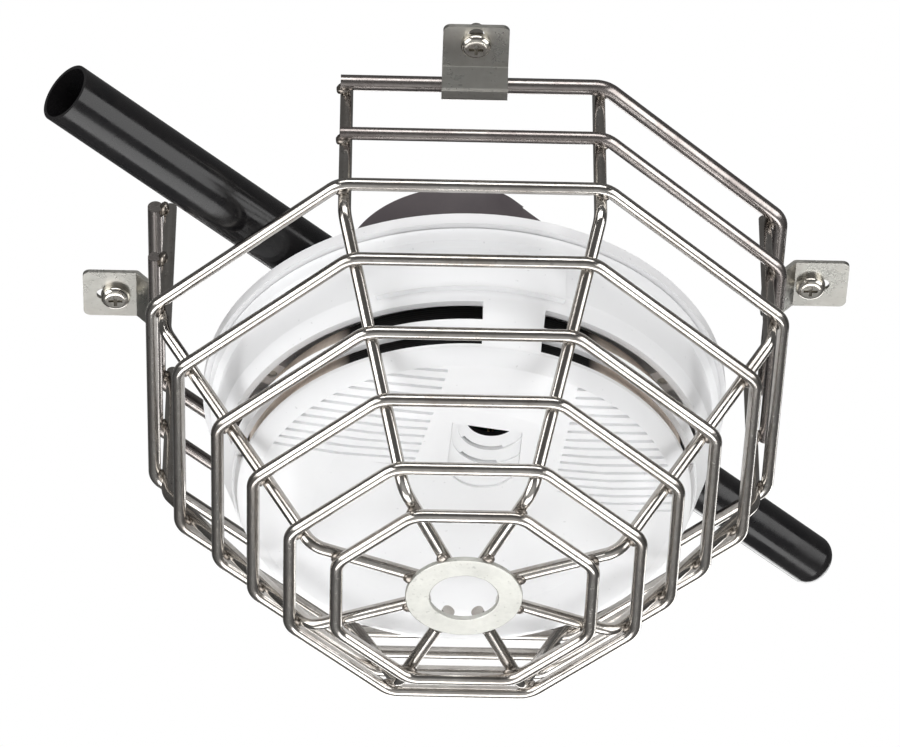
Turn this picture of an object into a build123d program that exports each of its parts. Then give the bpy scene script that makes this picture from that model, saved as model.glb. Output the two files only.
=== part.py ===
"""Ceiling heat detector in a stainless wire guard.

Everything hangs below the ceiling plane z = 0, in millimetres, with +Z up and
the box and the guard centred on the Z axis. Stations 0 to 7 are the guard's
eight corners, counted from the corner just past the -Y side towards +X.
"""

import os
from math import atan, cos, degrees, pi, radians, sin, sqrt, tan

from build123d import *

# Guard wire
WIRE_R = 1.88
BASE_WIRE_R = 2.30
BEND_R = 7.6
RIB_R = 95.2
RIB_TOP_Z = -1.0
RIB_KNEE_Z = -50.0
SPOKE_START_R = 47.4
SPOKE_Z = -114.9
SPOKE_END_R = 10.8
WELD_BITE = 0.02

# Guard rings, as height of the wire's centreline
BASE_Z = -2.6
UPPER_Z = -22.5
BELT_Z = -42.5
SHOULDER_Z = -63.5
MIDDLE_Z = -80.8
LOWER_Z = -96.6
FRONT_Z = -112.6

# Hub washer, clips and screws
HUB_R = 16.9
HUB_HOLE_R = 9.9
HUB_T = 1.6
SHEET_T = 1.2
CLIP_W = 19.05
CLIP_END_R = 114.6
CLIP_BEND_R = 98.3
CLIP_CORNER_R = 2.2
SLOT_R = 2.35
SLOT_LENGTH = 9.4
SCREW_R = 2.0
SCREW_HEAD_R = 4.45
SCREW_HEAD_H = 2.9
SCREW_STANDOUT = 4.9
SCREW_NECK_R = 1.6

# Electrical box and conduit
BOX_END_R = 35.7
BOX_END_X = 1.0
BOX_END_Y = 11.1
BOX_FLAT = 38.9
BOX_CORNER_R = 18.0
BOX_DEPTH = 38.1
BOX_WALL = 1.6
SPOT_FACE_R = 21.0
EAR_Y = 34.925
BOX_SCREW_Y = 20.6
CONDUIT_ANGLE = 44.0
ENTRY_START = 34.0
BOSS_END = 46.0
NEAR_Z = -28.1
FAR_Z = -12.1
NEAR_R = 8.95
FAR_R = 7.95
TUBE_WALL = 1.1
NEAR_END = 161.4
FAR_END = 159.2
TUBE_START = 60.0

# Detector
BASE_R = 77.3
BASE_T = 2.4
BASE_DROP = 4.9
COLLAR_R = 68.6
COLLAR_DROP = 14.6
WIRING_HOLE_R = 22.0
RUNNING_GAP = 0.4
LUG_ANGLE = 24.0
SHELL_WALL = 1.8
SHELL_TOP_Z = -BOX_DEPTH - BASE_DROP - RUNNING_GAP
PAD_R = 73.7
PAD_Z = -50.6
PAD_H = 13.4
PAD_HALF_ANGLE = 21.7
SHELL_VENT_H = 5.3
COVER_VENT_H = 4.4
VENT_HALF_ANGLE = 80.0
BRIDGE_FROM = 2.9
BRIDGE_TO = 17.6
FACE_Z = -86.5
WELL_X = 4.9
WELL_Y = -21.6
WELL_R = 10.3
WELL_FRONT = [(-4.4, -39.2), (15.8, -35.4)]
WELL_LIP = 1.5
MOUTH = (6.8, -39.5, 7.2)
SLITS = [((6.8, -36.2), 9.0, 157, 241), ((6.6, -32.2), 10.4, 168, 232)]
SLIT_W = 0.9
BEAD_X = 6.9
BEAD_Y = -27.5
LEAD_X = 0.65
LEAD_R = 0.35
LOUVRE_PITCH = 3.3
BOARD_R = 54.0
BOARD_Z = -58.0

COS_HALF = cos(pi / 8)
SLOPE = sqrt((RIB_R - SPOKE_START_R) ** 2 + (RIB_KNEE_Z - SPOKE_Z) ** 2)
SLOPE_R = (SPOKE_START_R - RIB_R) / SLOPE
SLOPE_Z = (SPOKE_Z - RIB_KNEE_Z) / SLOPE

os.makedirs("parts", exist_ok=True)


def save(name, part):
    """Label one piece and write its STEP file."""
    part.label = name
    export_step(part, f"parts/{name}.step")


def corner(k, radius, z):
    """Point of station k of an octagon whose corners lie at this radius."""
    a = radians(22.5 + 45 * k)
    return (radius * sin(a), -radius * cos(a), z)


def corner_radius(z, wire_r):
    """Sharp corner radius of a ring whose bent corners rest on the ribs."""
    offset = wire_r + WIRE_R - WELD_BITE
    if z > RIB_KNEE_Z:
        rest = RIB_R + offset
    else:
        run = (z - offset * SLOPE_R - RIB_KNEE_Z) / SLOPE_Z
        rest = RIB_R + run * SLOPE_R - offset * SLOPE_Z
    return rest + BEND_R * (1 / COS_HALF - 1)


def upright(angle):
    """Plane through the Z axis, its x axis at this angle from +X and its y axis up."""
    a = radians(angle)
    return Plane(origin=(0, 0, 0), x_dir=(cos(a), sin(a), 0), z_dir=(sin(a), -cos(a), 0))


def wire_section(line, radius):
    """Round wire section at the start of a line, ready to be swept."""
    with BuildSketch(Plane(origin=line @ 0, z_dir=line % 0)) as section:
        Circle(radius)
    return section.sketch


def closed_ring(name, z, radius=None):
    """Closed eight-sided ring of bent wire."""
    reach = radius or corner_radius(z, WIRE_R)
    with BuildPart() as ring:
        with BuildLine() as path:
            FilletPolyline(*[corner(k, reach, z) for k in range(8)], radius=BEND_R, close=True)
        sweep(sections=wire_section(path.line, WIRE_R), path=path.line)
    save(name, ring.part)


def open_ring(name, z, wire_r):
    """Ring of two lengths of wire, open on the two edges the conduit crosses."""
    reach = corner_radius(z, wire_r)
    with BuildPart() as ring:
        for first in (-1, 3):
            with BuildLine() as path:
                FilletPolyline(*[corner(first + k, reach, z) for k in range(4)], radius=BEND_R)
            sweep(sections=wire_section(path.line, wire_r), path=path.line)
    save(name, ring.part)


# --- Guard ---------------------------------------------------------------

open_ring("base_ring", BASE_Z, BASE_WIRE_R)
open_ring("upper_ring", UPPER_Z, WIRE_R)
closed_ring("belt_ring", BELT_Z)
closed_ring("shoulder_ring", SHOULDER_Z)
closed_ring("middle_ring", MIDDLE_Z)
closed_ring("lower_ring", LOWER_Z)
closed_ring("front_ring", FRONT_Z)
NOSE_Z = SPOKE_Z - 2 * WIRE_R + WELD_BITE
closed_ring("nose_ring", NOSE_Z, 39.75)

with BuildPart() as ribs:
    for k in range(8):
        with BuildLine(upright(45 * k - 67.5)) as path:
            FilletPolyline(
                (RIB_R, RIB_TOP_Z),
                (RIB_R, RIB_KNEE_Z),
                (SPOKE_START_R, SPOKE_Z),
                (SPOKE_END_R, SPOKE_Z),
                radius=7.5,
            )
        sweep(sections=wire_section(path.line, WIRE_R), path=path.line)
save("ribs", ribs.part)

with BuildPart() as hub_washer:
    with BuildSketch(Plane.XY.offset(SPOKE_Z - WIRE_R + WELD_BITE)):
        Circle(HUB_R)
        Circle(HUB_HOLE_R, mode=Mode.SUBTRACT)
    extrude(amount=-HUB_T)
    fillet(hub_washer.edges().filter_by(GeomType.CIRCLE), 0.3)
save("hub_washer", hub_washer.part)

# Each clip: angle from +X, sideways shift, screw's distance from the axis
CLIPS = [(-90, 0.4, 108.2), (180, -2.0, 104.8), (0, -8.3, 103.4), (90, 0.0, 105.0)]
RING_FLAT = corner_radius(BASE_Z, BASE_WIRE_R) * COS_HALF
UNDER_Z = BASE_Z - BASE_WIRE_R - SHEET_T / 2
INSIDE_R = RING_FLAT - BASE_WIRE_R - SHEET_T / 2

with BuildPart() as mounting_clips:
    for angle, shift, screw_r in CLIPS:
        with BuildSketch(upright(angle).offset(-shift)):
            with BuildLine():
                FilletPolyline(
                    (CLIP_END_R, -SHEET_T / 2),
                    (CLIP_BEND_R, -SHEET_T / 2),
                    (RING_FLAT + 1.2, UNDER_Z),
                    (INSIDE_R, UNDER_Z),
                    (INSIDE_R - 0.1, -1.7),
                    radius=0.95,
                )
            trace(line_width=SHEET_T)
        extrude(amount=CLIP_W / 2, both=True)
    ends = mounting_clips.edges().filter_by(Axis.Z).filter_by(lambda e: Vector(e.center()).Z > -1.3)
    fillet([e for e in ends if sqrt(e.center().X ** 2 + e.center().Y ** 2) > 112], CLIP_CORNER_R)
    for angle, shift, screw_r in CLIPS:
        with BuildSketch(Plane.XY.rotated((0, 0, angle))):
            with Locations((screw_r + 1.1, shift)):
                SlotOverall(SLOT_LENGTH, 2 * SLOT_R)
        extrude(amount=-3 * SHEET_T, mode=Mode.SUBTRACT)
save("mounting_clips", mounting_clips.part)


def pan_screw(at, standout, radius=SCREW_R, head_r=SCREW_HEAD_R, head_h=SCREW_HEAD_H, way=1, neck=0):
    """Pan-head cross-recess screw seated at a point, its shank going up (or down)."""
    seat = Plane(origin=at, z_dir=(0, 0, way))
    with BuildPart() as screw:
        with BuildSketch(seat):
            Circle(head_r)
        extrude(amount=-head_h)
        rim = screw.edges().filter_by(GeomType.CIRCLE).sort_by(Axis.Z)[0 if way > 0 else -1]
        fillet(rim, head_h * 0.6)
        with BuildSketch(seat.offset(-head_h)):
            Rectangle(head_r * 0.95, head_r * 0.22)
            Rectangle(head_r * 0.22, head_r * 0.95)
        extrude(amount=head_h * 0.5, mode=Mode.SUBTRACT)
        if neck:
            with BuildSketch(seat):
                Circle(SCREW_NECK_R)
            extrude(amount=neck)
        with BuildSketch(seat.offset(neck)):
            Circle(radius)
        extrude(amount=standout)
    return screw.part


def around(angle, radius, shift, z):
    """Point at a radius along a direction from +X, shifted sideways."""
    a = radians(angle)
    return (radius * cos(a) - shift * sin(a), radius * sin(a) + shift * cos(a), z)


seats = [around(angle, screw_r, shift, -SHEET_T) for angle, shift, screw_r in CLIPS]
shanks = [pan_screw(seat, SCREW_STANDOUT, neck=SHEET_T + 0.1) for seat in seats]
with BuildPart() as guard_screws:
    add(shanks)
save("guard_screws", guard_screws.part)

# --- Electrical box and conduit ------------------------------------------


ENTRIES = [(NEAR_Z, NEAR_R, False), (FAR_Z, FAR_R, True)]


def diagonal(distance, z, far=False):
    """Plane across the conduit line, its z axis pointing away from the box."""
    way = 1 if far else -1
    a = radians(CONDUIT_ANGLE)
    x, y = way * cos(a), way * sin(a)
    return Plane(origin=(distance * x, distance * y, z), x_dir=(y, -x, 0), z_dir=(x, y, 0))


def box_outline(inset, z):
    """Outline of the box at a height: two rounded ends, and flats at the other corners."""
    side = BOX_END_X + BOX_END_R
    end = BOX_END_Y + BOX_END_R
    cut = BOX_FLAT * sqrt(2)
    with BuildSketch(Plane.XY.offset(z)) as outline:
        with BuildLine():
            CenterArc((-BOX_END_X, -BOX_END_Y), BOX_END_R, 180, 90)
            Polyline((-BOX_END_X, -end), (cut - end, -end), (side, side - cut), (side, BOX_END_Y))
            CenterArc((BOX_END_X, BOX_END_Y), BOX_END_R, 0, 90)
            Polyline((BOX_END_X, end), (end - cut, end), (-side, cut - side), (-side, -BOX_END_Y))
        make_face()
        fillet([v for v in outline.vertices() if abs(abs(v.X - v.Y) - cut) < 0.01], BOX_CORNER_R)
        if inset:
            offset(amount=-inset)
    return outline.sketch


with BuildPart() as electrical_box:
    extrude(box_outline(0, 0), amount=-BOX_DEPTH)
    for z, radius, far in ENTRIES:
        with BuildSketch(diagonal(ENTRY_START, z, far)):
            Circle(radius + 0.9)
        extrude(amount=BOSS_END - ENTRY_START)
    extrude(box_outline(BOX_WALL, -BOX_WALL), amount=-BOX_DEPTH, mode=Mode.SUBTRACT)
    with BuildSketch(Plane.XY.offset(-BOX_DEPTH)):
        with Locations((0, EAR_Y + 2.5), (0, -EAR_Y - 2.5)):
            Rectangle(12, 17)
    extrude(amount=9)
    with BuildSketch(Plane.XY.offset(-BOX_DEPTH)):
        with Locations((0, EAR_Y), (0, -EAR_Y)):
            Circle(2.05)
    extrude(amount=9, mode=Mode.SUBTRACT)
    with BuildSketch():
        with Locations((0, BOX_SCREW_Y), (0, -BOX_SCREW_Y)):
            Circle(2.6)
        with Locations((22, 14)):
            Circle(2.05)
    extrude(amount=-BOX_WALL, mode=Mode.SUBTRACT)
    for z, radius, far in ENTRIES:
        with BuildSketch(diagonal(ENTRY_START, z, far)):
            Circle(radius - 1.3)
        extrude(amount=BOSS_END - ENTRY_START, mode=Mode.SUBTRACT)
    for way in (1, -1):
        s = way * BOX_FLAT / sqrt(2)
        flat = Plane(origin=(s, -s, -14), x_dir=(way, way, 0), z_dir=(way, -way, 0))
        with BuildSketch(flat):
            Circle(SPOT_FACE_R)
        extrude(amount=-0.5, mode=Mode.SUBTRACT)
save("electrical_box", electrical_box.part)

seats = [(0, y, -BOX_WALL) for y in (BOX_SCREW_Y, -BOX_SCREW_Y)]
shanks = [pan_screw(seat, BOX_WALL - 0.1, radius=2.3, head_r=4.8) for seat in seats]
with BuildPart() as box_screws:
    add(shanks)
save("box_screws", box_screws.part)

earth = pan_screw((22, 14, -BOX_WALL), BOX_WALL - 0.1, head_r=3.9, head_h=2.4)
with BuildPart() as ground_screw:
    add(earth)
save("ground_screw", ground_screw.part)


def conduit(name, z, radius, end, far):
    """Thin-walled tube on the diagonal, ending in the open."""
    with BuildPart() as tube:
        with BuildSketch(diagonal(TUBE_START, z, far)):
            Circle(radius)
            Circle(radius - TUBE_WALL, mode=Mode.SUBTRACT)
        extrude(amount=end - TUBE_START)
        if far:
            with BuildSketch(diagonal(end - 8, z, far)):
                Circle(radius)
            extrude(amount=8)
            tip = tube.edges().filter_by(GeomType.CIRCLE).sort_by(lambda e: e.center().X)[-1]
            fillet(tip, 5.5)
    save(name, tube.part)


def connector(name, z, radius, far):
    """Connector: threaded neck through the box wall and a hub that the tube butts on."""
    neck_r = radius - 1.45
    with BuildPart() as body:
        with BuildSketch(diagonal(ENTRY_START, z, far)):
            Circle(neck_r)
            Circle(neck_r - 1.5, mode=Mode.SUBTRACT)
        extrude(amount=TUBE_START - ENTRY_START - 0.1)
        with BuildSketch(diagonal(BOSS_END + 0.1, z, far)):
            Circle(radius - 0.5)
            Circle(neck_r - 1.5, mode=Mode.SUBTRACT)
        extrude(amount=TUBE_START - BOSS_END - 0.2)
    save(name, body.part)


conduit("conduit_near", NEAR_Z, NEAR_R, NEAR_END, far=False)
conduit("conduit_far", FAR_Z, FAR_R, FAR_END, far=True)
connector("connector_near", NEAR_Z, NEAR_R, far=False)
connector("connector_far", FAR_Z, FAR_R, far=True)

with BuildPart() as locknuts:
    for z, radius, far in ENTRIES:
        with BuildSketch(diagonal(ENTRY_START + 0.5, z, far)):
            RegularPolygon(radius + 0.9, 8)
            Circle(radius - 1.4, mode=Mode.SUBTRACT)
        extrude(amount=3.1)
save("locknuts", locknuts.part)

# --- Detector base ---------------------------------------------------------


def sector(radius, start, stop):
    """Pie slice from start to stop, in degrees from -Y towards +X."""
    with BuildSketch() as slice_:
        with BuildLine():
            arc = CenterArc((0, 0), radius, start - 90, stop - start)
            Line((0, 0), arc @ 0)
            Line((0, 0), arc @ 1)
        make_face()
    return slice_.sketch


TOP = -BOX_DEPTH
LEDGE_Z = TOP - COLLAR_DROP

with BuildPart() as mounting_base:
    with BuildSketch(Plane.XZ):
        with BuildLine():
            Polyline(
                (WIRING_HOLE_R, TOP),
                (BASE_R - 1.2, TOP),
                (BASE_R, TOP - 1.2),
                (BASE_R, TOP - BASE_DROP),
                (BASE_R - 2.2, TOP - BASE_DROP),
                (BASE_R - 2.2, TOP - BASE_T),
                (COLLAR_R, TOP - BASE_T),
                (COLLAR_R, LEDGE_Z),
                (COLLAR_R - 2.2, LEDGE_Z),
                (COLLAR_R - 2.2, TOP - BASE_T),
                (WIRING_HOLE_R, TOP - BASE_T),
                close=True,
            )
        make_face()
    revolve(axis=Axis.Z)
    for k in range(3):
        with BuildSketch(Plane.XY.offset(LEDGE_Z)):
            add(sector(COLLAR_R - 1, 120 * k - LUG_ANGLE / 2, 120 * k + LUG_ANGLE / 2))
            Circle(COLLAR_R - 6.2, mode=Mode.SUBTRACT)
        extrude(amount=2.4)
    with BuildSketch(Plane.XY.offset(TOP)):
        with Locations((0, EAR_Y), (0, -EAR_Y)):
            Circle(2.3)
    extrude(amount=-BASE_T, mode=Mode.SUBTRACT)
save("mounting_base", mounting_base.part)

seats = [(0, y, TOP - BASE_T) for y in (EAR_Y, -EAR_Y)]
shanks = [pan_screw(seat, BASE_T + 11, head_r=3.9, head_h=2.4) for seat in seats]
with BuildPart() as base_screws:
    add(shanks)
save("base_screws", base_screws.part)

CONTACT_R = 34.0
CONTACT_T = 0.8

with BuildPart() as base_contacts:
    for k in range(4):
        with BuildSketch(Plane.XY.offset(TOP - BASE_T)):
            with PolarLocations(CONTACT_R, 1, start_angle=45 + 90 * k):
                Rectangle(15, 7)
                with Locations((-4, 0)):
                    Circle(1.75, mode=Mode.SUBTRACT)
        extrude(amount=-CONTACT_T)
save("base_contacts", base_contacts.part)

seats = [around(45 + 90 * k, CONTACT_R - 4, 0, TOP - BASE_T - CONTACT_T) for k in range(4)]
shanks = [pan_screw(seat, CONTACT_T - 0.05, radius=1.7, head_r=3.0, head_h=1.8) for seat in seats]
with BuildPart() as terminal_screws:
    add(shanks)
save("terminal_screws", terminal_screws.part)

# --- Detector head -----------------------------------------------------------

CHASSIS_Z = LEDGE_Z - 1.0
LIP_Z = -75.8


def vent_windows(z):
    """Plan of the two vent windows, for cutting through a wall below this height."""
    with BuildSketch(Plane.XY.offset(z)) as windows:
        add(sector(90, -VENT_HALF_ANGLE, BRIDGE_FROM))
        add(sector(90, BRIDGE_TO, VENT_HALF_ANGLE))
        Circle(60.5, mode=Mode.SUBTRACT)
    return windows.sketch


with BuildPart() as head_shell:
    with BuildSketch(Plane.XZ):
        with BuildLine():
            Polyline(
                (75.6, SHELL_TOP_Z),
                (75.0, -47.5),
                (73.2, -49.0),
                (72.6, -62.0),
                (70.8, -67.2),
                (69.6, -71.0),
                (68.0, LIP_Z),
                (68.0 - SHELL_WALL, LIP_Z),
                (67.6, -71.0),
                (68.8, -67.2),
                (70.6, -62.0),
                (71.2, -49.5),
                (73.2, -47.5),
                (73.6, SHELL_TOP_Z),
                close=True,
            )
        make_face()
    revolve(axis=Axis.Z)
    with BuildSketch(Plane.XY.offset(PAD_Z)):
        add(sector(PAD_R, -PAD_HALF_ANGLE, PAD_HALF_ANGLE))
        Circle(71.9, mode=Mode.SUBTRACT)
    extrude(amount=-PAD_H)
    extrude(vent_windows(-67.2), amount=-SHELL_VENT_H, mode=Mode.SUBTRACT)
    for k in range(3):
        with BuildSketch(Plane.XY.offset(CHASSIS_Z - 3.0)):
            with PolarLocations(65.4, 1, start_angle=90 + 120 * k):
                Rectangle(11.6, 9)
                Circle(1.6, mode=Mode.SUBTRACT)
        extrude(amount=-6)
save("head_shell", head_shell.part)

with BuildPart() as chassis:
    with BuildSketch(Plane.XY.offset(CHASSIS_Z)):
        Circle(70.2)
        Circle(18, mode=Mode.SUBTRACT)
        with PolarLocations(65.4, 3, start_angle=90):
            Circle(1.8, mode=Mode.SUBTRACT)
        with PolarLocations(CONTACT_R + 4, 4, start_angle=45):
            Rectangle(1.3, 4.6, mode=Mode.SUBTRACT)
    extrude(amount=-3.0)
    with BuildSketch(Plane.XY.offset(CHASSIS_Z)):
        Circle(60.0)
        Circle(57.5, mode=Mode.SUBTRACT)
    extrude(amount=9.4)
    for k in range(3):
        with BuildSketch(Plane.XY.offset(LEDGE_Z + 2.4 + RUNNING_GAP)):
            add(sector(COLLAR_R - 2.7, 120 * k - LUG_ANGLE / 2, 120 * k + LUG_ANGLE / 2))
            Circle(57.5, mode=Mode.SUBTRACT)
        extrude(amount=3.0)
    with BuildSketch(Plane.XY.offset(CHASSIS_Z - 3.0)):
        with PolarLocations(48, 3, start_angle=90):
            Circle(3.0)
    extrude(amount=-(CHASSIS_Z - 3.0 - BOARD_Z))
save("chassis", chassis.part)

with BuildPart() as head_contacts:
    for k in range(4):
        with BuildSketch(Plane.XY.offset(CHASSIS_Z - 3.2)):
            with PolarLocations(CONTACT_R + 4, 1, start_angle=45 + 90 * k):
                Rectangle(0.8, 4.0)
        extrude(amount=14.1)
save("head_contacts", head_contacts.part)

with BuildPart() as circuit_board:
    with BuildSketch(Plane.XY.offset(BOARD_Z)):
        Circle(BOARD_R)
        with Locations((BEAD_X - LEAD_X, BEAD_Y), (BEAD_X + LEAD_X, BEAD_Y)):
            Circle(0.5, mode=Mode.SUBTRACT)
    extrude(amount=-1.6)
save("circuit_board", circuit_board.part)

with BuildPart() as sensing_chamber:
    with BuildSketch(Plane.XY.offset(BOARD_Z - 1.6)):
        with Locations((0, 18)):
            Circle(25)
    extrude(amount=-14)
    fillet(sensing_chamber.edges().filter_by(GeomType.CIRCLE).sort_by(Axis.Z)[0], 2)
    with BuildSketch(Plane.XY.offset(BOARD_Z - 1.6)):
        with Locations((0, 18)):
            Circle(23)
    extrude(amount=-12, mode=Mode.SUBTRACT)
save("sensing_chamber", sensing_chamber.part)

with BuildPart() as insect_screen:
    with BuildSketch(Plane.XY.offset(CHASSIS_Z - 9.0)):
        Circle(63.6)
        Circle(63.0, mode=Mode.SUBTRACT)
    extrude(amount=-(CHASSIS_Z - 9.0 + 79.5))
save("insect_screen", insect_screen.part)


def well_outline(inset, z):
    """Plan of the sensor well at a height: straight across the front, round at the back."""
    with BuildSketch(Plane.XY.offset(z)) as outline:
        with BuildLine():
            far = CenterArc((WELL_X, WELL_Y), WELL_R, 0, 180)
            Polyline(far @ 1, *WELL_FRONT, far @ 0)
        make_face()
        if inset:
            offset(amount=-inset)
    return outline.sketch


LEFT_FIELD = [(-4, -80), (-6.2, -59), (-15.3, -20), (-57.1, -25.2), (-75, -30), (-60, -80)]
RIGHT_FIELD = [(31, -80), (31, -53), (25.4, -10.6), (53.5, 1.2), (66, 3), (80, -22), (70, -80)]

def louvre_grooves(field, tilt):
    """Grooves of one louvre field, a millimetre deep down the slope of the cover."""
    with BuildPart() as grooves:
        with BuildSketch(Plane.XZ):
            with BuildLine():
                Polyline(
                    (0, FACE_Z - 1),
                    (61.5, FACE_Z - 1),
                    (61.5, -82.4),
                    (44.0, FACE_Z + 1.8),
                    (0, FACE_Z + 1.0),
                    close=True,
                )
            make_face()
        revolve(axis=Axis.Z)
        with BuildSketch(Plane.XY.offset(FACE_Z - 2)):
            with BuildLine():
                Polyline(*field, close=True)
            make_face()
            with BuildSketch(mode=Mode.INTERSECT):
                with Locations(*[(0, -62.0 + LOUVRE_PITCH * n) for n in range(20)]):
                    Rectangle(140, LOUVRE_PITCH * 0.32, rotation=tilt)
        extrude(amount=8, mode=Mode.INTERSECT)
    return grooves.part


with BuildPart() as front_cover:
    with BuildSketch(Plane.XZ):
        with BuildLine():
            Polyline(
                (0, FACE_Z),
                (44.0, FACE_Z + 0.8),
                (61.5, -83.4),
                (66.2, -80.4),
                (67.4, LIP_Z - 0.3),
                (65.4, LIP_Z - 0.3),
                (64.4, -79.6),
                (60.5, -81.4),
                (43.6, FACE_Z + 2.8),
                (0, FACE_Z + 2.0),
                close=True,
            )
        make_face()
    revolve(axis=Axis.Z)
    extrude(vent_windows(LIP_Z + 0.7), amount=-COVER_VENT_H, mode=Mode.SUBTRACT)
    with BuildSketch(Plane.XY.offset(CHASSIS_Z - 9.0)):
        with PolarLocations(61.0, 3, start_angle=90):
            Circle(1.8)
    extrude(amount=-18.8)
    add(louvre_grooves(LEFT_FIELD, 4), mode=Mode.SUBTRACT)
    add(louvre_grooves(RIGHT_FIELD, 6), mode=Mode.SUBTRACT)
    extrude(well_outline(0, FACE_Z - 1), amount=5, mode=Mode.SUBTRACT)
save("front_cover", front_cover.part)

GRILLE_TOP = FACE_Z + 3.7
LEDGES = [((6.6, -32.2), 10.9, 1.5), ((6.8, -36.2), 9.5, 2.1)]

with BuildPart() as sensor_grille:
    extrude(well_outline(0.1, FACE_Z + 1.0), amount=2.7)
    extrude(well_outline(-WELL_LIP, GRILLE_TOP - 0.8), amount=0.8)
    for centre, radius, height in LEDGES:
        with BuildSketch(Plane.XY.offset(FACE_Z)):
            with Locations(centre):
                Circle(radius)
            add(well_outline(0.1, FACE_Z), mode=Mode.INTERSECT)
        extrude(amount=height, mode=Mode.SUBTRACT)
    with BuildSketch(Plane.XY.offset(FACE_Z)):
        with Locations(MOUTH[:2]):
            Circle(MOUTH[2])
        add(well_outline(0.1, FACE_Z), mode=Mode.INTERSECT)
    extrude(amount=4, mode=Mode.SUBTRACT)
    for (x, y), radius, start, stop in SLITS:
        with BuildSketch(Plane.XY.offset(FACE_Z)):
            add(Pos(x, y) * sector(radius + SLIT_W / 2, start, stop))
            with Locations((x, y)):
                Circle(radius - SLIT_W / 2, mode=Mode.SUBTRACT)
        extrude(amount=4, mode=Mode.SUBTRACT)
save("sensor_grille", sensor_grille.part)

with BuildPart() as thermistor:
    with BuildSketch(Plane.XY.offset(BOARD_Z)):
        with Locations((BEAD_X - LEAD_X, BEAD_Y), (BEAD_X + LEAD_X, BEAD_Y)):
            Circle(LEAD_R)
    extrude(amount=-22.4)
    with BuildSketch(Plane.XY.offset(BOARD_Z - 22.2)):
        with Locations((BEAD_X, BEAD_Y)):
            Ellipse(1.5, 1.1)
    extrude(amount=-1.9)
save("thermistor", thermistor.part)

seats = [around(90 + 120 * k, 65.4, 0, CHASSIS_Z) for k in range(3)]
shanks = [pan_screw(seat, 8.4, radius=1.5, head_r=2.6, head_h=0.9, way=-1) for seat in seats]
with BuildPart() as head_screws:
    add(shanks)
save("head_screws", head_screws.part)
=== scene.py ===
"""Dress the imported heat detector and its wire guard: meshes, finishes, light and camera.

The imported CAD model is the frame, and its nodes keep their CAD shapes and get real
finishes. The weld beads that hold the guard together are modelled here. Lengths are in
metres unless a comment says millimetres, in the CAD frame: +Z is up into the ceiling,
and -Y is the side that faces the camera.
"""

import logging
import math
from dataclasses import dataclass, field
from enum import Enum
from typing import Callable, Iterable

import bpy
from mathutils import Matrix, Vector


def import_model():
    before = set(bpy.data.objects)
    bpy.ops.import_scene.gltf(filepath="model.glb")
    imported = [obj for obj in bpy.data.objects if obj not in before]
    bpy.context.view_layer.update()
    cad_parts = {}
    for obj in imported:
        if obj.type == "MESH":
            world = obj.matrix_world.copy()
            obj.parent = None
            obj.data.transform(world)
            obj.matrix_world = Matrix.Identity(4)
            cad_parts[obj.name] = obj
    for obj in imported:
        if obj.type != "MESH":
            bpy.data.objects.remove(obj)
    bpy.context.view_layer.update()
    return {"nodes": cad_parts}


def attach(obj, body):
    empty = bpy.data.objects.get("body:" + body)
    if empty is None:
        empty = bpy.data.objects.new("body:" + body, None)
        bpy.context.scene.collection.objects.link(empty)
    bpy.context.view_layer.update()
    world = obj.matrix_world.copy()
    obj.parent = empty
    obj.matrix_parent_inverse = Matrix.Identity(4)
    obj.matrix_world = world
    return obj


logging.basicConfig(level=logging.INFO, format="%(message)s")
log = logging.getLogger("detector")

MM = 0.001
FIRST_CORNER = 22.5
CORNER_STEP = 45.0
CORNERS = 8
Point = tuple[float, float, float]
Colour = tuple[float, float, float]


class Body(Enum):
    """The rigid bodies that pieces ride on."""

    BOX = "ceiling_box"
    HEAD = "head"
    GUARD = "guard"


# ---------------------------------------------------------------------------
# Node graphs
# ---------------------------------------------------------------------------


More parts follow.
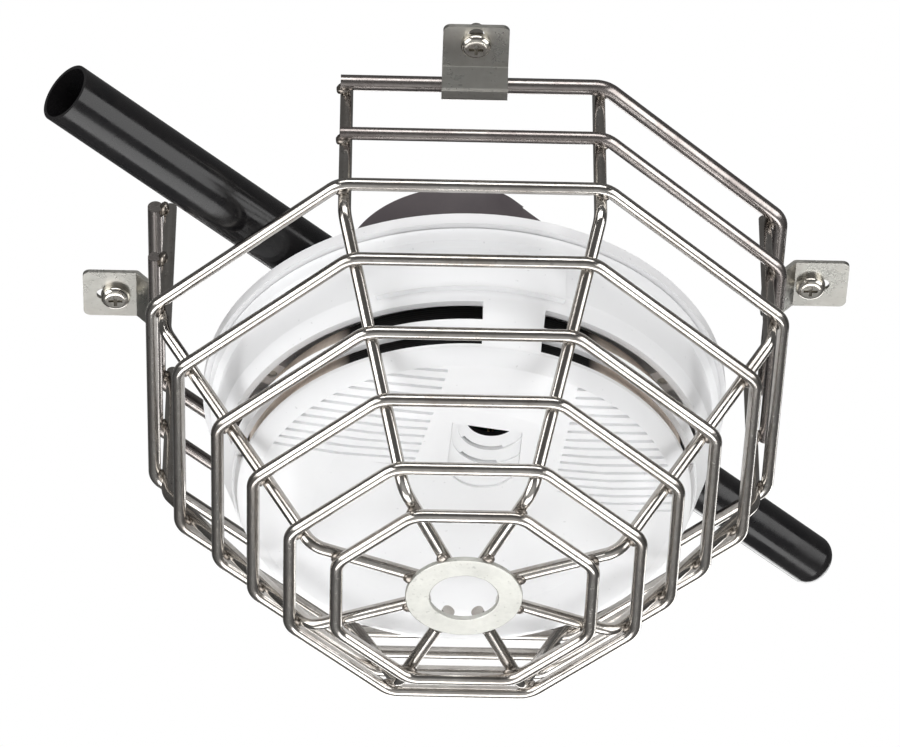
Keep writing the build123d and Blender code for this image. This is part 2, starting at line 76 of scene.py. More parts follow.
@dataclass
class Graph:
    """A node tree with short ways to add and join nodes.

    Attributes:
        tree: the tree that nodes are added to.
    """

    tree: bpy.types.NodeTree

    def add(self, kind: str, **settings: object) -> bpy.types.Node:
        """Add one node.

        Args:
            kind: the node's Blender type name.
            settings: attributes to set on the node.

        Returns:
            The new node.
        """
        node = self.tree.nodes.new(kind)
        for name, value in settings.items():
            setattr(node, name, value)
        return node

    def join(self, source: bpy.types.NodeSocket, target: bpy.types.NodeSocket) -> None:
        """Link an output socket to an input socket."""
        self.tree.links.new(source, target)

    def feed(self, target: bpy.types.NodeSocket, value: object) -> None:
        """Link a socket, or set a plain value."""
        if isinstance(value, bpy.types.NodeSocket):
            self.join(value, target)
        elif isinstance(value, tuple) and len(value) == 3 and target.type == "RGBA":
            target.default_value = (*value, 1.0)
        else:
            target.default_value = value

    def place(self) -> bpy.types.NodeSocket:
        """Return the Object coordinates socket."""
        return self.add("ShaderNodeTexCoord").outputs["Object"]

    def noise(
        self, scale: float, detail: float = 4.0, stretch: Point = (1.0, 1.0, 1.0), at: object = None
    ) -> bpy.types.NodeSocket:
        """Add a noise texture on Object coordinates.

        Args:
            scale: noise scale, per metre.
            detail: number of octaves.
            stretch: scale along each axis.
            at: coordinates to use in place of Object coordinates.

        Returns:
            The noise value socket.
        """
        mapping = self.add("ShaderNodeMapping")
        mapping.inputs["Scale"].default_value = stretch
        self.join(at or self.place(), mapping.inputs["Vector"])
        noise = self.add("ShaderNodeTexNoise")
        self.feed(noise.inputs["Scale"], scale)
        self.feed(noise.inputs["Detail"], detail)
        self.join(mapping.outputs["Vector"], noise.inputs["Vector"])
        return noise.outputs["Fac"]

    def remap(self, value: object, lo: float, hi: float, to_lo: float = 0.0, to_hi: float = 1.0):
        """Clamp and map a value from one range to another.

        Args:
            value: socket or number to map.
            lo: value that becomes to_lo.
            hi: value that becomes to_hi.
            to_lo: low end of the result.
            to_hi: high end of the result.

        Returns:
            The mapped value's socket.
        """
        node = self.add("ShaderNodeMapRange")
        self.feed(node.inputs["Value"], value)
        for name, number in (("From Min", lo), ("From Max", hi), ("To Min", to_lo), ("To Max", to_hi)):
            self.feed(node.inputs[name], number)
        return node.outputs["Result"]

    def math(self, operation: str, a: object, b: object = 0.0) -> bpy.types.NodeSocket:
        """Combine two values with a Math node.

        Args:
            operation: the Math node's operation name.
            a: first socket or number.
            b: second socket or number.

        Returns:
            The result's socket.
        """
        node = self.add("ShaderNodeMath", operation=operation)
        self.feed(node.inputs[0], a)
        self.feed(node.inputs[1], b)
        return node.outputs[0]

    def mix(self, share: object, a: object, b: object) -> bpy.types.NodeSocket:
        """Mix two colours.

        Args:
            share: how much of b shows, 0 to 1.
            a: first colour.
            b: second colour.

        Returns:
            The mixed colour's socket.
        """
        node = self.add("ShaderNodeMix", data_type="RGBA")
        self.feed(node.inputs["Factor"], share)
        self.feed(node.inputs["A"], a)
        self.feed(node.inputs["B"], b)
        return node.outputs["Result"]

    def axes(self) -> bpy.types.NodeOutputs:
        """Return the X, Y and Z sockets of the Object coordinates."""
        split = self.add("ShaderNodeSeparateXYZ")
        self.join(self.place(), split.inputs[0])
        return split.outputs


def shared_group(name: str, inputs: Iterable[tuple[str, float]], build: Callable) -> bpy.types.NodeTree:
    """Return the node group of this name, building it the first time.

    Args:
        name: the group's name.
        inputs: input names with their default numbers.
        build: function of (graph, inputs node, outputs node) that fills the group.

    Returns:
        The node group.
    """
    if name in bpy.data.node_groups:
        return bpy.data.node_groups[name]
    tree = bpy.data.node_groups.new(name, "ShaderNodeTree")
    for label, default in inputs:
        socket = tree.interface.new_socket(label, in_out="INPUT", socket_type="NodeSocketFloat")
        socket.default_value = default
    tree.interface.new_socket("Mask", in_out="OUTPUT", socket_type="NodeSocketFloat")
    graph = Graph(tree)
    build(graph, graph.add("NodeGroupInput"), graph.add("NodeGroupOutput"))
    return tree


def mottle_group() -> bpy.types.NodeTree:
    """Return the group for soft, cloudy variation over a surface."""

    def build(graph: Graph, given: bpy.types.Node, result: bpy.types.Node) -> None:
        """Mix a coarse and a fine noise and stretch the contrast."""
        coarse = graph.noise(1.0, 2.0)
        graph.join(given.outputs["Scale"], coarse.node.inputs["Scale"])
        fine = graph.noise(1.0, 6.0)
        graph.join(graph.math("MULTIPLY", given.outputs["Scale"], 7.0), fine.node.inputs["Scale"])
        both = graph.math("ADD", graph.math("MULTIPLY", coarse, 0.65), graph.math("MULTIPLY", fine, 0.35))
        centred = graph.math("SUBTRACT", both, 0.5)
        stretched = graph.math("MULTIPLY", centred, given.outputs["Contrast"])
        clamped = graph.remap(graph.math("ADD", stretched, 0.5), 0.0, 1.0)
        graph.join(clamped, result.inputs["Mask"])

    return shared_group("Mottle", (("Scale", 60.0), ("Contrast", 2.0)), build)


def speck_group() -> bpy.types.NodeTree:
    """Return the group for sparse specks, pits and chips."""

    def build(graph: Graph, given: bpy.types.Node, result: bpy.types.Node) -> None:
        """Keep only the peaks of a noise."""
        grain = graph.noise(1.0, 1.0)
        graph.join(given.outputs["Scale"], grain.node.inputs["Scale"])
        rim = graph.math("ADD", given.outputs["Rarity"], 0.03)
        node = graph.add("ShaderNodeMapRange")
        graph.join(grain, node.inputs["Value"])
        graph.join(given.outputs["Rarity"], node.inputs["From Min"])
        graph.join(rim, node.inputs["From Max"])
        graph.join(node.outputs["Result"], result.inputs["Mask"])

    return shared_group("Specks", (("Scale", 500.0), ("Rarity", 0.7)), build)


def scratch_group() -> bpy.types.NodeTree:
    """Return the group for fine drawn lines along the ring direction and along Z."""

    def build(graph: Graph, given: bpy.types.Node, result: bpy.types.Node) -> None:
        """Take the sharper of two noises stretched along different ways."""
        flat = graph.noise(1.0, 3.0, (1.0, 1.0, 9.0))
        steep = graph.noise(1.0, 3.0, (6.0, 6.0, 0.6))
        for line in (flat, steep):
            graph.join(given.outputs["Scale"], line.node.inputs["Scale"])
        both = graph.math("MAXIMUM", flat, steep)
        graph.join(graph.remap(both, 0.45, 0.75), result.inputs["Mask"])

    return shared_group("Drawn lines", (("Scale", 300.0),), build)


def use_group(graph: Graph, tree: bpy.types.NodeTree, **values: float) -> bpy.types.NodeSocket:
    """Place a shared group in a material.

    Args:
        graph: the material's graph.
        tree: the shared group.
        values: the group's inputs, by lower-case name.

    Returns:
        The group's mask socket.
    """
    node = graph.add("ShaderNodeGroup", node_tree=tree)
    for name, value in values.items():
        node.inputs[name.capitalize()].default_value = value
    return node.outputs["Mask"]


def new_material(name: str) -> tuple[bpy.types.Material, Graph, bpy.types.Node]:
    """Make an empty node material.

    Args:
        name: the material's name.

    Returns:
        The material, its graph and its Principled BSDF.
    """
    material = bpy.data.materials.new(name)
    material.use_nodes = True
    material.node_tree.nodes.clear()
    graph = Graph(material.node_tree)
    shader = graph.add("ShaderNodeBsdfPrincipled")
    output = graph.add("ShaderNodeOutputMaterial")
    graph.join(shader.outputs["BSDF"], output.inputs["Surface"])
    return material, graph, shader


def bump(graph: Graph, shader: bpy.types.Node, height: object, strength: float, distance: float) -> None:
    """Feed a height into the shader's normal.

    Args:
        graph: the material's graph.
        shader: the Principled BSDF.
        height: the height socket.
        strength: bump strength, 0 to 1.
        distance: height in metres that a full value stands for.
    """
    node = graph.add("ShaderNodeBump")
    node.inputs["Strength"].default_value = strength
    node.inputs["Distance"].default_value = distance
    graph.join(height, node.inputs["Height"])
    graph.join(node.outputs["Normal"], shader.inputs["Normal"])


# ---------------------------------------------------------------------------
# Finishes
# ---------------------------------------------------------------------------


def darker(colour: Colour, share: float) -> Colour:
    """Return a colour with only this share of its light."""
    return tuple(share * part for part in colour)


@dataclass(frozen=True)
class Steel:
    """Bare stainless steel, from polished wire to dull sheet.

    Attributes:
        name: material name.
        bright: colour where the surface is clean.
        stained: colour of the heat stain and handling marks.
        smooth: roughness where it is polished.
        rough: roughness where it is dull.
        stain_scale: size of the stains, as noise per metre.
        pits: bump of the small pits and drawn lines.
        stain_contrast: how hard the edges of the stains are.
        line_scale: size of the drawn lines, as noise per metre.
        speck_scale: size of the specks, as noise per metre.
        speck_rarity: how rare the specks are, 0 to 1.
        speck_share: how far a speck hides the steel, 0 to 1.
        relief: depth in metres of a full pit.
    """

    name: str
    bright: Colour
    stained: Colour
    smooth: float
    rough: float
    stain_scale: float = 60.0
    pits: float = 0.25
    stain_contrast: float = 2.6
    line_scale: float = 260.0
    speck_scale: float = 900.0
    speck_rarity: float = 0.68
    speck_share: float = 0.3
    relief: float = 0.00006

    def material(self) -> bpy.types.Material:
        """Build the material."""
        material, graph, shader = new_material(self.name)
        stain = use_group(graph, mottle_group(), scale=self.stain_scale, contrast=self.stain_contrast)
        lines = use_group(graph, scratch_group(), scale=self.line_scale)
        specks = use_group(graph, speck_group(), scale=self.speck_scale, rarity=self.speck_rarity)
        colour = graph.mix(stain, self.bright, self.stained)
        dark = darker(self.stained, 0.35)
        share = graph.math("MULTIPLY", specks, self.speck_share)
        graph.join(graph.mix(share, colour, dark), shader.inputs["Base Color"])
        dull = graph.math("ADD", graph.math("MULTIPLY", stain, 0.7), graph.math("MULTIPLY", lines, 0.3))
        graph.join(graph.remap(dull, 0.15, 0.85, self.smooth, self.rough), shader.inputs["Roughness"])
        shader.inputs["Metallic"].default_value = 1.0
        height = graph.math("SUBTRACT", graph.math("MULTIPLY", lines, 0.5), specks)
        bump(graph, shader, height, self.pits, self.relief)
        return material


@dataclass(frozen=True)
class Paint:
    """Painted or enamelled metal with small chips.

    Attributes:
        name: material name.
        colour: the paint.
        faded: the paint where it is dusty or worn.
        chip: what shows through a chip.
        gloss: roughness of clean paint.
        worn: roughness of worn paint.
        rarity: how rare the chips are, 0 to 1.
        coat: clear coat weight.
        shine: specular level.
        dust_scale: size of the dusty patches, as noise per metre.
        chip_scale: size of the chips, as noise per metre.
        peel_scale: size of the orange peel, as noise per metre.
        relief: depth in metres of a full chip.
    """

    name: str
    colour: Colour
    faded: Colour
    chip: Colour
    gloss: float
    worn: float
    rarity: float = 0.74
    coat: float = 0.0
    shine: float = 0.5
    dust_scale: float = 70.0
    chip_scale: float = 170.0
    peel_scale: float = 420.0
    relief: float = 0.0001

    def material(self) -> bpy.types.Material:
        """Build the material."""
        material, graph, shader = new_material(self.name)
        dust = use_group(graph, mottle_group(), scale=self.dust_scale, contrast=2.2)
        chips = use_group(graph, speck_group(), scale=self.chip_scale, rarity=self.rarity)
        orange_peel = use_group(graph, mottle_group(), scale=self.peel_scale, contrast=1.4)
        paint = graph.mix(dust, self.colour, self.faded)
        graph.join(graph.mix(chips, paint, self.chip), shader.inputs["Base Color"])
        graph.join(graph.remap(dust, 0.2, 0.8, self.gloss, self.worn), shader.inputs["Roughness"])
        shader.inputs["Specular IOR Level"].default_value = self.shine
        shader.inputs["Coat Weight"].default_value = self.coat
        shader.inputs["Coat Roughness"].default_value = 0.12
        bump(graph, shader, graph.math("SUBTRACT", orange_peel, chips), 0.12, self.relief)
        return material


@dataclass(frozen=True)
class Plastic:
    """Moulded plastic with a fine spark-eroded grain.

    Attributes:
        name: material name.
        colour: the plastic.
        shade: the plastic where it has yellowed or picked up dust.
        roughness: mean roughness.
        grain: bump of the moulded grain.
        grain_scale: size of the grain, as noise per metre.
        tone_scale: size of the yellowed patches, as noise per metre.
        dust_scale: size of the dust, as noise per metre.
        dust_rarity: how rare the dust is, 0 to 1.
        dust_share: how far dust hides the plastic, 0 to 1.
        relief: depth in metres of the full grain.
    """

    name: str
    colour: Colour
    shade: Colour
    roughness: float
    grain: float = 0.12
    grain_scale: float = 1500.0
    tone_scale: float = 18.0
    dust_scale: float = 700.0
    dust_rarity: float = 0.76
    dust_share: float = 0.35
    relief: float = 0.00005

    def material(self) -> bpy.types.Material:
        """Build the material."""
        material, graph, shader = new_material(self.name)
        tone = use_group(graph, mottle_group(), scale=self.tone_scale, contrast=1.8)
        dust = use_group(graph, speck_group(), scale=self.dust_scale, rarity=self.dust_rarity)
        grain = graph.noise(self.grain_scale, 2.0)
        dusty = darker(self.shade, 0.6)
        colour = graph.mix(tone, self.colour, self.shade)
        share = graph.math("MULTIPLY", dust, self.dust_share)
        graph.join(graph.mix(share, colour, dusty), shader.inputs["Base Color"])
        spread = graph.math("ADD", graph.math("MULTIPLY", tone, 0.5), graph.math("MULTIPLY", grain, 0.5))
        rough = graph.remap(spread, 0.2, 0.8, self.roughness - 0.05, self.roughness + 0.08)
        graph.join(rough, shader.inputs["Roughness"])
        bump(graph, shader, grain, self.grain, self.relief)
        return material


@dataclass(frozen=True)
class ThroatShaded(Plastic):
    """Moulded plastic with painted shade where it lines a round mouth.

    Attributes:
        mouth: middle of the mouth, in metres.
        reach: radius inside which the plastic is painted as shade.
        throat_shade: colour of the painted shade inside the mouth.
        edge: width of the step into the painted shade, in metres.
    """

    mouth: tuple[float, float] = (0.0, 0.0)
    reach: float = 0.0
    throat_shade: Colour = (0.01, 0.01, 0.01)
    edge: float = 0.00005

    def material(self) -> bpy.types.Material:
        """Build the material."""
        material = super().material()
        graph = Graph(material.node_tree)
        shader = material.node_tree.nodes["Principled BSDF"]
        clean = shader.inputs["Base Color"].links[0].from_socket
        axes = graph.axes()
        offsets = [graph.math("SUBTRACT", axes[axis], middle) for axis, middle in zip("XY", self.mouth)]
        squares = [graph.math("MULTIPLY", offset, offset) for offset in offsets]
        distance = graph.math("SQRT", graph.math("ADD", *squares))
        outside = graph.remap(distance, self.reach, self.reach + self.edge)
        # Painted shade: inside the mouth's radius the white turns near-black, standing in for the shade in
        # the opening.
        graph.join(graph.mix(outside, self.throat_shade, clean), shader.inputs["Base Color"])
        return material


@dataclass(frozen=True)
class Screen:
    """Insect screen behind the vents: black gauze with painted light at the sides, which are painted brown
    where light gets in.

    Attributes:
        name: material name.
        black: colour of the middle.
        lit_brown: painted light, the colour of the sides where light gets in.
        reach: distance from the middle at which the painted light starts, in metres.
        fade: width of the step from black to the painted light, in metres.
        weave_scale: how fine the gauze is, as bands per metre.
    """

    name: str
    black: Colour
    lit_brown: Colour
    reach: float
    fade: float = 0.004
    weave_scale: float = 400.0

    def material(self) -> bpy.types.Material:
        """Build the material."""
        material, graph, shader = new_material(self.name)
        # Painted light: away from the middle the black turns to lit brown, standing in for light getting in
        # at the sides of the vents.
        across = graph.math("ABSOLUTE", graph.axes()["X"])
        side = graph.remap(across, self.reach, self.reach + self.fade)
        mottle = use_group(graph, mottle_group(), scale=90.0, contrast=2.4)
        lit = graph.mix(mottle, self.lit_brown, darker(self.lit_brown, 0.6))
        graph.join(graph.mix(side, self.black, lit), shader.inputs["Base Color"])
        weave = graph.add("ShaderNodeTexWave", bands_direction="Z")
        weave.inputs["Scale"].default_value = self.weave_scale
        graph.join(graph.place(), weave.inputs["Vector"])
        graph.join(graph.remap(weave.outputs["Fac"], 0.0, 1.0, 0.55, 0.8), shader.inputs["Roughness"])
        bump(graph, shader, weave.outputs["Fac"], 0.3, 0.0001)
        return material


Finish = Steel | Paint | Plastic | Screen

POLISHED_WIRE = Steel("Polished wire", (0.60, 0.58, 0.55), (0.36, 0.33, 0.30), 0.10, 0.24, 55.0, 0.2)
DULL_WIRE = Steel("Dull wire", (0.44, 0.41, 0.39), (0.25, 0.22, 0.21), 0.20, 0.32, 70.0, 0.05)
CLIP_SHEET = Steel("Clip sheet", (0.56, 0.56, 0.52), (0.40, 0.38, 0.35), 0.24, 0.42, 45.0, 0.3)
WASHER_STEEL = Steel("Washer steel", (0.62, 0.62, 0.58), (0.50, 0.50, 0.47), 0.40, 0.52, 90.0, 0.4)
BRIGHT_SCREW = Steel("Bright screw", (0.74, 0.72, 0.67), (0.50, 0.47, 0.42), 0.10, 0.22, 120.0, 0.1)
WELD_METAL = Steel("Weld metal", (0.36, 0.33, 0.30), (0.13, 0.11, 0.09), 0.22, 0.42, 260.0, 0.6)
ZINC = Steel("Zinc plate", (0.62, 0.63, 0.62), (0.50, 0.50, 0.46), 0.28, 0.42, 120.0, 0.2)
BRASS = Steel("Contact brass", (0.74, 0.56, 0.27), (0.55, 0.38, 0.18), 0.22, 0.40, 120.0, 0.2)
CONDUIT_BLACK = Paint(
    "Conduit black",
    (0.006, 0.006, 0.007),
    (0.014, 0.013, 0.013),
    (0.62, 0.62, 0.60),
    gloss=0.12,
    worn=0.24,
    rarity=0.80,
    shine=0.30,
)
BOX_GREY = Paint(
    "Box grey",
    (0.080, 0.068, 0.074),
    (0.110, 0.094, 0.098),
    (0.30, 0.29, 0.28),
    gloss=0.42,
    worn=0.58,
    rarity=0.78,
)
GROUND_GREEN = Paint("Ground green", (0.02, 0.25, 0.08), (0.04, 0.20, 0.08), (0.5, 0.5, 0.5), 0.30, 0.45)
HEAD_WHITE = Plastic("Head white", (0.92, 0.925, 0.93), (0.90, 0.905, 0.92), 0.36)
# The grille's white carries painted shade: near-black inside its round mouth.
GRILLE_WHITE = ThroatShaded(
    "Grille white", (0.92, 0.925, 0.93), (0.90, 0.905, 0.92), 0.36, mouth=(0.0068, -0.0395), reach=0.00726
)
BASE_WHITE = Plastic("Base white", (0.90, 0.90, 0.91), (0.87, 0.87, 0.88), 0.46)
BOARD_GREEN = Plastic("Board green", (0.03, 0.17, 0.07), (0.02, 0.12, 0.05), 0.40, 0.3, 600.0)
BLACK_MOULDING = Plastic("Black moulding", (0.012, 0.012, 0.012), (0.02, 0.02, 0.02), 0.5)
SENSOR_BEAD = Plastic("Sensor bead", (0.62, 0.52, 0.28), (0.5, 0.4, 0.2), 0.2, 0.05)
# The brown is painted light at the sides of the vents.
VENT_SCREEN = Screen("Vent screen", (0.004, 0.004, 0.004), (0.85, 0.74, 0.65), 0.034)

CAD_FINISHES = {
    "base_ring": DULL_WIRE,
    "upper_ring": DULL_WIRE,
    "belt_ring": POLISHED_WIRE,
    "shoulder_ring": POLISHED_WIRE,
    "middle_ring": POLISHED_WIRE,
    "lower_ring": POLISHED_WIRE,
    "front_ring": POLISHED_WIRE,
    "nose_ring": POLISHED_WIRE,
    "ribs": POLISHED_WIRE,
    "hub_washer": WASHER_STEEL,
    "mounting_clips": CLIP_SHEET,
    "guard_screws": BRIGHT_SCREW,
    "electrical_box": BOX_GREY,
    "box_screws": ZINC,
    "ground_screw": GROUND_GREEN,
    "conduit_near": CONDUIT_BLACK,
    "conduit_far": CONDUIT_BLACK,
    "connector_near": CONDUIT_BLACK,
    "connector_far": CONDUIT_BLACK,
    "locknuts": ZINC,
    "mounting_base": BASE_WHITE,
    "base_screws": ZINC,
    "base_contacts": BRASS,
    "terminal_screws": ZINC,
    "head_shell": HEAD_WHITE,
    "chassis": BASE_WHITE,
    "head_contacts": BRASS,
    "circuit_board": BOARD_GREEN,
    "sensing_chamber": BLACK_MOULDING,
    "insect_screen": VENT_SCREEN,
    "front_cover": HEAD_WHITE,
    "sensor_grille": GRILLE_WHITE,
    "thermistor": SENSOR_BEAD,
    "head_screws": ZINC,
}


@dataclass
class FinishShelf:
    """Materials made so far, one per finish."""

    made: dict[str, bpy.types.Material] = field(default_factory=dict)

    def get(self, finish: Finish) -> bpy.types.Material:
        """Return the finish's material, building it the first time."""
        if finish.name not in self.made:
            self.made[finish.name] = finish.material()
        return self.made[finish.name]

    def dress(self, piece: bpy.types.Object, finish: Finish) -> None:
        """Give a piece one finish all over."""
        piece.data.materials.clear()
        piece.data.materials.append(self.get(finish))


# ---------------------------------------------------------------------------
# Welds
# ---------------------------------------------------------------------------


def select(pieces: list[bpy.types.Object]) -> None:
    """Select only these pieces and make the first one active."""
    bpy.ops.object.select_all(action="DESELECT")
    for piece in pieces:
        piece.select_set(True)
    bpy.context.view_layer.objects.active = pieces[0]


def seat(at: Vector, across: Vector, out: Vector, size: float = 1.0) -> Matrix:
    """Return the place of one bead.

    Args:
        at: the middle of the bead.
        across: direction of the bead's long side.
        out: direction of its thin side.
        size: scale of the bead.
    """
    turn = Matrix((across, out.cross(across), out)).transposed().to_4x4()
    return Matrix.Translation(at) @ turn @ Matrix.Scale(size, 4)


def stamp(pattern: bpy.types.Object, name: str, seats: Iterable[Matrix]) -> bpy.types.Object:
    """Copy a pattern to every seat, each copy with its own mesh, and join the copies.

    Args:
        pattern: the piece to copy.
        name: name of the joined piece.
        seats: where the copies go.

    Returns:
        The joined piece, with its place in its mesh.
    """
    copies = []
    for place in seats:
        select([pattern])
        bpy.ops.object.duplicate(linked=False)
        copy = bpy.context.object
        copy.matrix_world = place
        copies.append(copy)
    select(copies)
    bpy.ops.object.join()
    bpy.ops.object.transform_apply(location=True, rotation=True, scale=True)
    piece = bpy.context.object
    piece.name = piece.data.name = name
    return piece


def corner_ways(corner: int) -> tuple[Vector, Vector]:
    """Return the ways out from the axis and along the ring at a numbered corner."""
    angle = math.radians(FIRST_CORNER + CORNER_STEP * corner)
    return Vector((math.sin(angle), -math.cos(angle), 0.0)), Vector((math.cos(angle), math.sin(angle), 0.0))


@dataclass(frozen=True)
class Ring:
    """One octagonal wire ring of the guard.

    Attributes:
        name: the ring's CAD node.
        height: height of the wire's centre, in millimetres.
        corner: from the axis to the wire's centre at a corner, in millimetres.
        lean: angle of the weld's face below the horizontal, in degrees.
        corners: numbers of the corners that cross a rib.
    """

    name: str
    height: float
    corner: float
    lean: float
    corners: tuple[int, ...] = tuple(range(CORNERS))


SPLIT_RING = (-1, 0, 1, 2, 3, 4, 5, 6)
RINGS = (
    Ring("base_ring", -2.6, 99.3, 0.0, SPLIT_RING),
    Ring("upper_ring", -22.5, 98.94, 0.0, SPLIT_RING),
    Ring("belt_ring", -42.5, 98.94, 0.0),
    Ring("shoulder_ring", -63.5, 89.90, 36.4),
    Ring("middle_ring", -80.8, 77.16, 36.4),
    Ring("lower_ring", -96.6, 65.52, 36.4),
    Ring("front_ring", -112.6, 53.73, 36.4),
    Ring("nose_ring", -118.64, 39.12, 90.0),
)


@dataclass
class GuardWelds:
    """Weld beads of the guard: wire on wire, and spoke on washer.

    Attributes:
        shelf: where the finish comes from.
        bead: half length, half width and half thickness of a bead, in millimetres.
        lumps: how far the bead's surface wanders, in millimetres.
        wire: radius of the thin wire, in millimetres.
        size_step: step in size from one bead to another, as a share.
        washer_bead: size of the washer's beads, as a share.
        washer_rim: radius of the nose washer, in millimetres.
        washer_face: height of the washer's face that meets the spokes, in millimetres.
    """

    shelf: FinishShelf
    bead: tuple[float, float, float] = (2.45, 2.15, 1.25)
    lumps: float = 0.16
    wire: float = 1.88
    size_step: float = 0.05
    washer_bead: float = 0.85
    washer_rim: float = 16.9
    washer_face: float = -116.76

    def pattern(self) -> bpy.types.Object:
        """Model the one bead that every weld copies: a squashed and lumpy ball."""
        bpy.ops.object.select_all(action="DESELECT")
        bpy.ops.mesh.primitive_uv_sphere_add(segments=16, ring_count=10, radius=MM)
        bpy.ops.object.mode_set(mode="EDIT")
        bpy.ops.mesh.select_all(action="SELECT")
        bpy.ops.transform.resize(value=self.bead)
        bpy.ops.transform.vertex_random(offset=self.lumps * MM, uniform=0.2, normal=0.6, seed=4)
        bpy.ops.object.mode_set(mode="OBJECT")
        bpy.ops.object.shade_smooth()
        return bpy.context.object

    def finish_piece(self, piece: bpy.types.Object) -> None:
        """Give a set of beads its finish and body."""
        self.shelf.dress(piece, WELD_METAL)
        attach(piece, Body.GUARD.value)
        log.info("welded %s", piece.name)

    def on_ring(self, pattern: bpy.types.Object, ring: Ring) -> None:
        """Weld one ring to the ribs that it crosses."""
        lean = math.radians(ring.lean)
        seats = []
        for k in ring.corners:
            radial, along = corner_ways(k)
            out = radial * math.cos(lean) - Vector((0.0, 0.0, math.sin(lean)))
            centre = radial * ring.corner + Vector((0.0, 0.0, ring.height))
            size = 1.0 + self.size_step * ((3 * k) % 5 - 2)
            seats.append(seat((centre - out * self.wire) * MM, along, out, size))
        self.finish_piece(stamp(pattern, "weld_" + ring.name, seats))

    def on_washer(self, pattern: bpy.types.Object) -> None:
        """Weld the spokes to the nose washer."""
        down = Vector((0.0, 0.0, -1.0))
        seats = []
        for k in range(CORNERS):
            radial, _ = corner_ways(k)
            centre = radial * self.washer_rim + Vector((0.0, 0.0, self.washer_face))
            seats.append(seat(centre * MM, radial, down, self.washer_bead))
        self.finish_piece(stamp(pattern, "weld_hub_washer", seats))

    def build(self) -> None:
        """Model every weld."""
        pattern = self.pattern()
        for ring in RINGS:
            self.on_ring(pattern, ring)
        self.on_washer(pattern)
        select([pattern])
        bpy.ops.object.delete()


# ---------------------------------------------------------------------------
# Stage
# ---------------------------------------------------------------------------


SOFT_BOXES = (
    ("Key", (-1.15, -0.55, -0.55), (1.1, 1.1), 4.0),
    ("Fill", (1.15, -0.45, -0.45), (0.9, 1.1), 3.4),
    ("Front", (0.0, -1.35, 0.30), (1.7, 0.6), 3.8),
    ("Low", (0.0, 0.55, -1.15), (1.5, 0.7), 3.8),
    ("Rear", (0.3, 1.3, 0.25), (1.4, 0.6), 3.2),
)


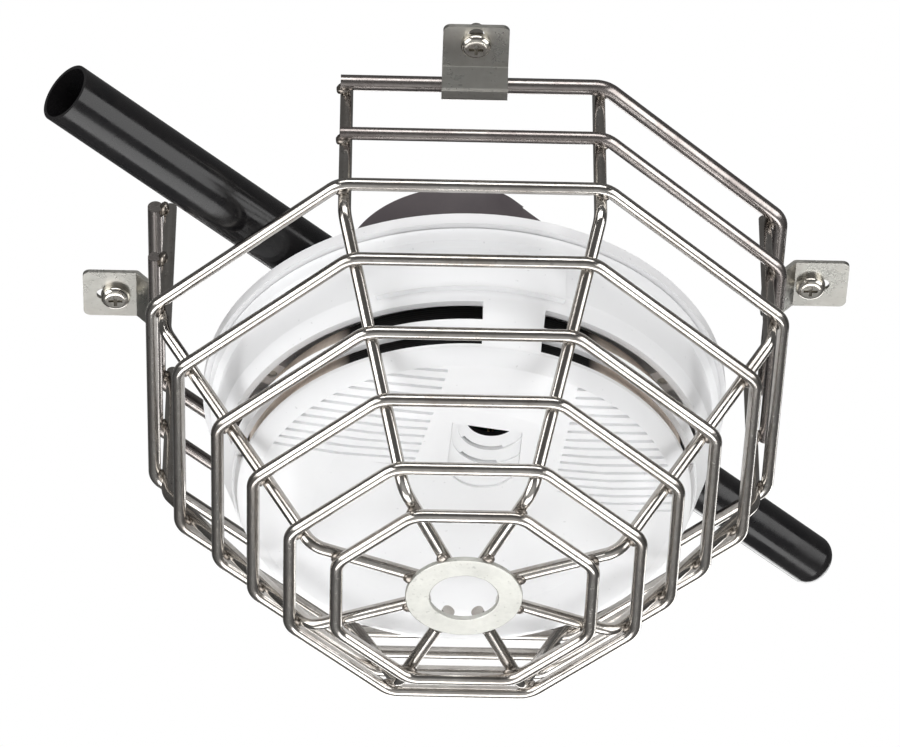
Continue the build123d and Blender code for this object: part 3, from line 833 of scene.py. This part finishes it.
@dataclass
class Studio:
    """Floor, world, lights and camera.

    Attributes:
        floor_drop: how far the floor is below the ceiling plane.
        floor_size: side of the square floor.
        floor_glow: light that the floor gives off, which only the camera sees.
        aim: point that the camera looks at.
        distance: from the aim to the camera.
        climb: angle at which the camera looks up, in degrees.
        swing: angle of the view from +Y towards +X, in degrees.
        roll: turn of the camera about its axis, in degrees.
        lens: focal length in millimetres.
        sensor_width: width of the camera's sensor in millimetres.
        clip_end: how far the camera sees.
        dim: light of the surroundings at and below eye level.
        ceiling_glow: light of the surroundings overhead.
        horizon: heights of the sky between which one turns into the other.
    """

    floor_drop: float = 1.5
    floor_size: float = 30.0
    floor_glow: float = 0.55
    aim: Point = (-0.0043, 0.0, -0.0322)
    distance: float = 1.782
    climb: float = 41.52
    swing: float = 1.24
    roll: float = 0.28
    lens: float = 240.0
    sensor_width: float = 36.0
    clip_end: float = 60.0
    dim: float = 0.05
    ceiling_glow: float = 0.15
    horizon: tuple[float, float] = (-0.1, 0.6)

    def floor(self) -> None:
        """Lay the plain pale floor."""
        bpy.ops.mesh.primitive_plane_add(size=self.floor_size, location=(0, 0, -self.floor_drop))
        floor = bpy.context.object
        floor.name = "floor"
        material, graph, shader = new_material("Floor")
        cloud = use_group(graph, mottle_group(), scale=1.5, contrast=1.2)
        graph.join(graph.mix(cloud, (0.92, 0.92, 0.92), (0.88, 0.88, 0.88)), shader.inputs["Base Color"])
        shader.inputs["Roughness"].default_value = 0.8
        seen = graph.add("ShaderNodeLightPath").outputs["Is Camera Ray"]
        shader.inputs["Emission Color"].default_value = (1.0, 1.0, 1.0, 1.0)
        graph.join(graph.math("MULTIPLY", seen, self.floor_glow), shader.inputs["Emission Strength"])
        floor.data.materials.append(material)

    def world(self) -> None:
        """Make surroundings that are white behind the object and dim in every mirror."""
        world = bpy.data.worlds.new("Studio")
        bpy.context.scene.world = world
        world.use_nodes = True
        graph = Graph(world.node_tree)
        world.node_tree.nodes.clear()
        split = graph.add("ShaderNodeSeparateXYZ")
        graph.join(graph.add("ShaderNodeTexCoord").outputs["Generated"], split.inputs[0])
        mirrored = graph.remap(split.outputs["Z"], *self.horizon, self.dim, self.ceiling_glow)
        strength = graph.add("ShaderNodeMix", data_type="FLOAT")
        graph.join(graph.add("ShaderNodeLightPath").outputs["Is Camera Ray"], strength.inputs["Factor"])
        graph.join(mirrored, strength.inputs["A"])
        strength.inputs["B"].default_value = 1.0
        sky = graph.add("ShaderNodeBackground")
        graph.join(strength.outputs["Result"], sky.inputs["Strength"])
        sky.inputs["Color"].default_value = (1.0, 1.0, 1.0, 1.0)
        output = graph.add("ShaderNodeOutputWorld")
        graph.join(sky.outputs["Background"], output.inputs["Surface"])

    def light(self, name: str, at: Point, size: tuple[float, float], radiance: float) -> None:
        """Hang one soft box that faces the detector.

        Args:
            name: the light's name.
            at: where it hangs.
            size: width and height.
            radiance: how bright its face looks, where 1 is paper white.
        """
        data = bpy.data.lights.new(name, "AREA")
        data.shape = "RECTANGLE"
        data.size, data.size_y = size
        data.energy = radiance * math.pi * size[0] * size[1]
        lamp = bpy.data.objects.new(name, data)
        lamp.location = at
        lamp.rotation_euler = (Vector(self.aim) - Vector(at)).to_track_quat("-Z", "Y").to_euler()
        bpy.context.scene.collection.objects.link(lamp)

    def camera(self) -> None:
        """Place the camera below the ceiling, looking up."""
        climb, swing = math.radians(self.climb), math.radians(self.swing)
        ahead = Vector(
            (math.cos(climb) * math.sin(swing), math.cos(climb) * math.cos(swing), math.sin(climb))
        )
        data = bpy.data.cameras.new("Camera")
        data.lens = self.lens
        data.sensor_width = self.sensor_width
        data.clip_end = self.clip_end
        camera = bpy.data.objects.new("Camera", data)
        camera.location = Vector(self.aim) - ahead * self.distance
        turn = ahead.to_track_quat("-Z", "Y").to_matrix() @ Matrix.Rotation(math.radians(self.roll), 3, "Z")
        camera.rotation_euler = turn.to_euler()
        bpy.context.scene.collection.objects.link(camera)
        bpy.context.scene.camera = camera

    def build(self) -> None:
        """Set up the whole stage."""
        self.floor()
        self.world()
        for name, at, size, radiance in SOFT_BOXES:
            self.light(name, at, size, radiance)
        self.camera()
        bpy.context.scene.view_settings.view_transform = "Standard"


def main() -> None:
    """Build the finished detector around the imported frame."""
    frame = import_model()
    bpy.ops.object.select_all(action="DESELECT")
    shelf = FinishShelf()
    for name, finish in CAD_FINISHES.items():
        shelf.dress(frame["nodes"][name], finish)
        log.info("dressed %s in %s", name, finish.name)
    GuardWelds(shelf).build()
    Studio().build()


if __name__ == "__main__":
    main()
